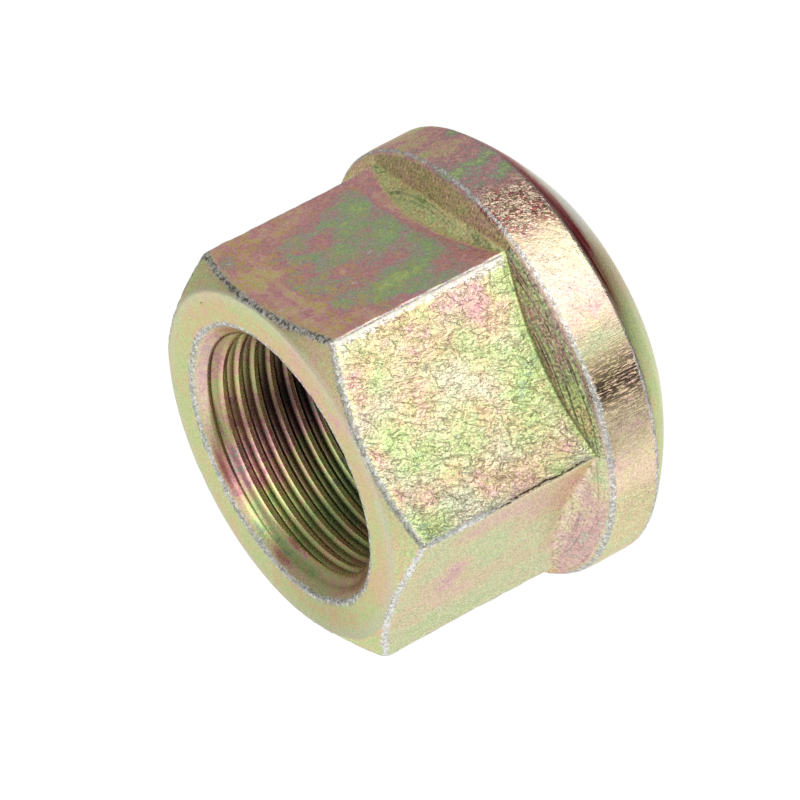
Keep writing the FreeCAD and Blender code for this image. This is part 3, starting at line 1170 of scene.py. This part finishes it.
@dataclass
class WheelNut:
    """The finished nut: the body's surface, its forging and its finish."""

    body: NutBody = field(default_factory=NutBody)
    forging: Forging = field(default_factory=Forging)
    finish: ChromateFinish = field(default_factory=ChromateFinish)

    def make(self) -> bpy.types.Object:
        """Builds the mesh, moves its points by the forging, stores the attributes and dresses it.

        Returns:
            The nut's object.
        """
        surface = self.body.surface()
        points = surface.points
        mesh = bpy.data.meshes.new("forged_nut")
        sizes = np.concatenate([np.full(len(surface.quads), 4), np.full(len(surface.halves), 3)])
        corners = np.concatenate([surface.quads.ravel(), surface.halves.ravel()])
        mesh.vertices.add(len(points))
        mesh.loops.add(len(corners))
        mesh.polygons.add(len(sizes))
        mesh.vertices.foreach_set("co", (points * MM).ravel())
        mesh.loops.foreach_set("vertex_index", corners.astype(np.int32))
        mesh.polygons.foreach_set("loop_start", (np.cumsum(sizes) - sizes).astype(np.int32))
        mesh.polygons.foreach_set("use_smooth", np.ones(len(sizes), bool))
        mesh.update(calc_edges=True)
        normals = np.empty(points.size, np.float32)
        mesh.vertex_normals.foreach_get("vector", normals)
        moved = points + normals.reshape(-1, 3) * self.forging.moves(surface)[:, None]
        moved[:, 2] = np.clip(moved[:, 2], 0.0, self.body.height)
        mesh.vertices.foreach_set("co", (moved * MM).ravel())
        marks = Marks(surface, FilmMap(surface), self.forging)
        for name, values in marks.attributes().items():
            layer = mesh.attributes.new(name, "FLOAT", "POINT")
            layer.data.foreach_set("value", values.astype(np.float32))
        mesh.update()
        mesh.validate(verbose=True)
        mesh.materials.append(self.finish.build())
        piece = bpy.data.objects.new("forged_nut", mesh)
        bpy.context.scene.collection.objects.link(piece)
        mesh.calc_loop_triangles()
        log.info("forged_nut: %d points, %d triangles", len(moved), len(mesh.loop_triangles))
        return piece


@dataclass
class Studio:
    """White floor and surroundings whose reflections are bright and dark by direction, and the camera.

    Both brightness tables are by bearing in degrees, the second for what is reflected from below.
    """

    floor_size: float = 1.6
    floor_glow: float = 1.04
    floor_shadow: float = 0.07
    azimuth: float = -81.450
    elevation: float = 24.299
    roll: float = -117.752
    distance: float = 0.64501
    aim: tuple = (0.70358, -4.28568, 17.38034)
    lens: float = 376.955
    brightness: tuple = (
        (-180, 1.02), (-160, 1.05), (-147, 0.36), (-122, 0.15), (-113, 0.95), (-104, 1.48), (-92, 1.86),
        (-80, 1.86), (-58, 1.84), (-43, 1.80), (-32, 0.50), (-12, 0.36), (60, 0.38), (78, 0.44),
        (92, 0.86), (150, 0.86), (180, 1.02),
    )
    low_brightness: tuple = (
        (-180, 0.85), (-100, 0.75), (-80, 0.14), (90, 0.14), (110, 0.80), (180, 0.85),
    )
    top_brightness: float = 0.7
    ramp_top: float = 2.0
    diffuse_light: float = 0.85

    def by_bearing(self, board: NodeBoard, share: Wire, table: tuple) -> Wire:
        """The brightness that a table gives for the bearing of a direction.

        Args:
            board: the node tree.
            share: the bearing as a share of a turn, from 0 at -180 degrees.
            table: brightness by bearing in degrees.

        Returns:
            The brightness.
        """
        stops = [((angle + 180) / 360, (value / self.ramp_top,) * 3) for angle, value in table]
        return board.ramp(share, stops, "EASE") * self.ramp_top

    def surroundings(self) -> None:
        """Makes the world: white to the camera, by bearing and height to reflections, even to the rest."""
        world = bpy.data.worlds.new("studio")
        bpy.context.scene.world = world
        world.use_nodes = True
        board = NodeBoard(world.node_tree)
        direction = board.wire("ShaderNodeTexCoord", output="Generated")
        parts = board.add("ShaderNodeSeparateXYZ", {0: direction}).outputs
        x, y, height = (Wire(board, part) for part in parts)
        share = board.math("ARCTAN2", y, x) * (1 / (2 * math.pi)) + 0.5
        level = self.by_bearing(board, share, self.brightness)
        level = board.between(board.span(height, 0.78, 0.92), level, self.top_brightness)
        below = self.by_bearing(board, share, self.low_brightness)
        seen = board.between(board.span(height, -0.56, -0.90), level, below)
        seen *= board.span(height, -0.8, -0.95) * -0.85 + 1.0
        light = board.between(board.mirrored(), self.diffuse_light, seen)
        strength = board.between(board.ray("Camera"), light, 1.0)
        back = board.wire("ShaderNodeBackground", {"Color": WHITE, "Strength": strength})
        board.add("ShaderNodeOutputWorld", {"Surface": back})

    def floor(self) -> bpy.types.Object:
        """Makes the floor: white to the camera with a faint shadow, and clear to reflections.

        Returns:
            The floor's object.
        """
        half = self.floor_size / 2
        corners = [(-half, -half, 0), (half, -half, 0), (half, half, 0), (-half, half, 0)]
        mesh = bpy.data.meshes.new("floor")
        mesh.from_pydata(corners, [], [(0, 1, 2, 3)])
        material = bpy.data.materials.new("white_floor")
        material.use_nodes = True
        board = NodeBoard(material.node_tree)
        glow = board.wire("ShaderNodeEmission", {"Color": WHITE, "Strength": self.floor_glow})
        paper = board.wire("ShaderNodeBsdfDiffuse", {"Color": WHITE})
        white = board.wire("ShaderNodeMixShader", {0: self.floor_shadow, 1: glow, 2: paper})
        clear = board.wire("ShaderNodeBsdfTransparent")
        mixed = board.wire("ShaderNodeMixShader", {0: board.mirrored(), 1: white, 2: clear})
        board.add("ShaderNodeOutputMaterial", {"Surface": mixed})
        mesh.materials.append(material)
        floor = bpy.data.objects.new("floor", mesh)
        bpy.context.scene.collection.objects.link(floor)
        return floor

    def camera(self) -> bpy.types.Object:
        """Makes the camera: on a sphere round its aim, rolled about its own line of sight.

        Returns:
            The camera.
        """
        azimuth, elevation = math.radians(self.azimuth), math.radians(self.elevation)
        level = math.cos(elevation)
        back = Vector((math.cos(azimuth) * level, math.sin(azimuth) * level, math.sin(elevation)))
        turn = (-back).to_track_quat("-Z", "Y").to_matrix().to_4x4()
        roll = Matrix.Rotation(math.radians(self.roll), 4, "Z")
        data = bpy.data.cameras.new("camera")
        data.lens = self.lens
        data.clip_start = 0.01
        data.clip_end = 5.0
        camera = bpy.data.objects.new("camera", data)
        camera.matrix_world = Matrix.Translation(Vector(self.aim) * MM + back * self.distance) @ turn @ roll
        bpy.context.scene.collection.objects.link(camera)
        bpy.context.scene.camera = camera
        return camera


def main() -> None:
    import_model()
    bpy.context.scene.view_settings.view_transform = "Standard"
    studio = Studio()
    studio.surroundings()
    studio.floor()
    studio.camera()
    piece = WheelNut().make()
    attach(piece, BODY)
    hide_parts(NODE)


if __name__ == "__main__":
    logging.basicConfig(level=logging.INFO)
    main()
